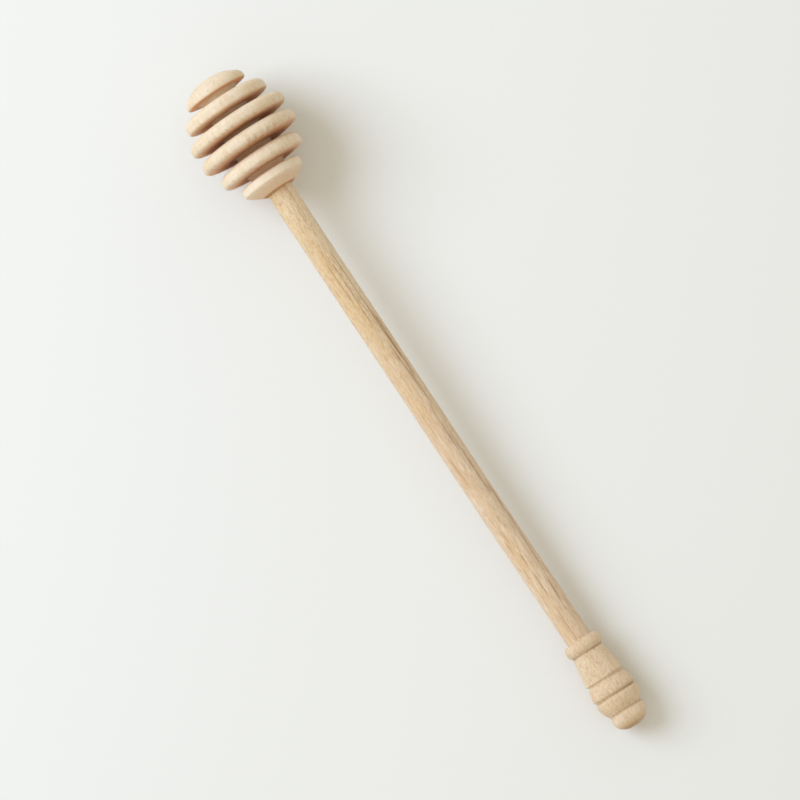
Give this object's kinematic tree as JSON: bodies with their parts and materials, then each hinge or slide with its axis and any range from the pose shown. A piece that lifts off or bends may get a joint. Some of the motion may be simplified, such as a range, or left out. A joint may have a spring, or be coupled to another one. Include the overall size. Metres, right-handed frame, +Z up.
{
  "type": "honey dipper",
  "caption": "Turned wooden honey dipper: a rounded head of discs parted by deep grooves, glued on a straight round shaft that ends in a beaded finial.",
  "frame": {"origin": "on the table, under the middle of the dipper's box as it lies at rest on one ring of the head and one bead of the finial", "axes": "+X from the head's tip towards the finial, level with the table; +Z up from the table; the turning axis lies in the XZ plane and falls towards +X by the rest tilt"},
  "size_m": [0.1994, 0.0281, 0.0284],
  "materials": {
    "head_wood": "sanded, unfinished",
    "handle_wood": "turned, unfinished",
    "wood_glue": "set glue"
  },
  "bodies": {
    "root": {"dipper_head": "head_wood", "handle": "handle_wood", "glue_film": "wood_glue"}
  },
  "joints": []
}
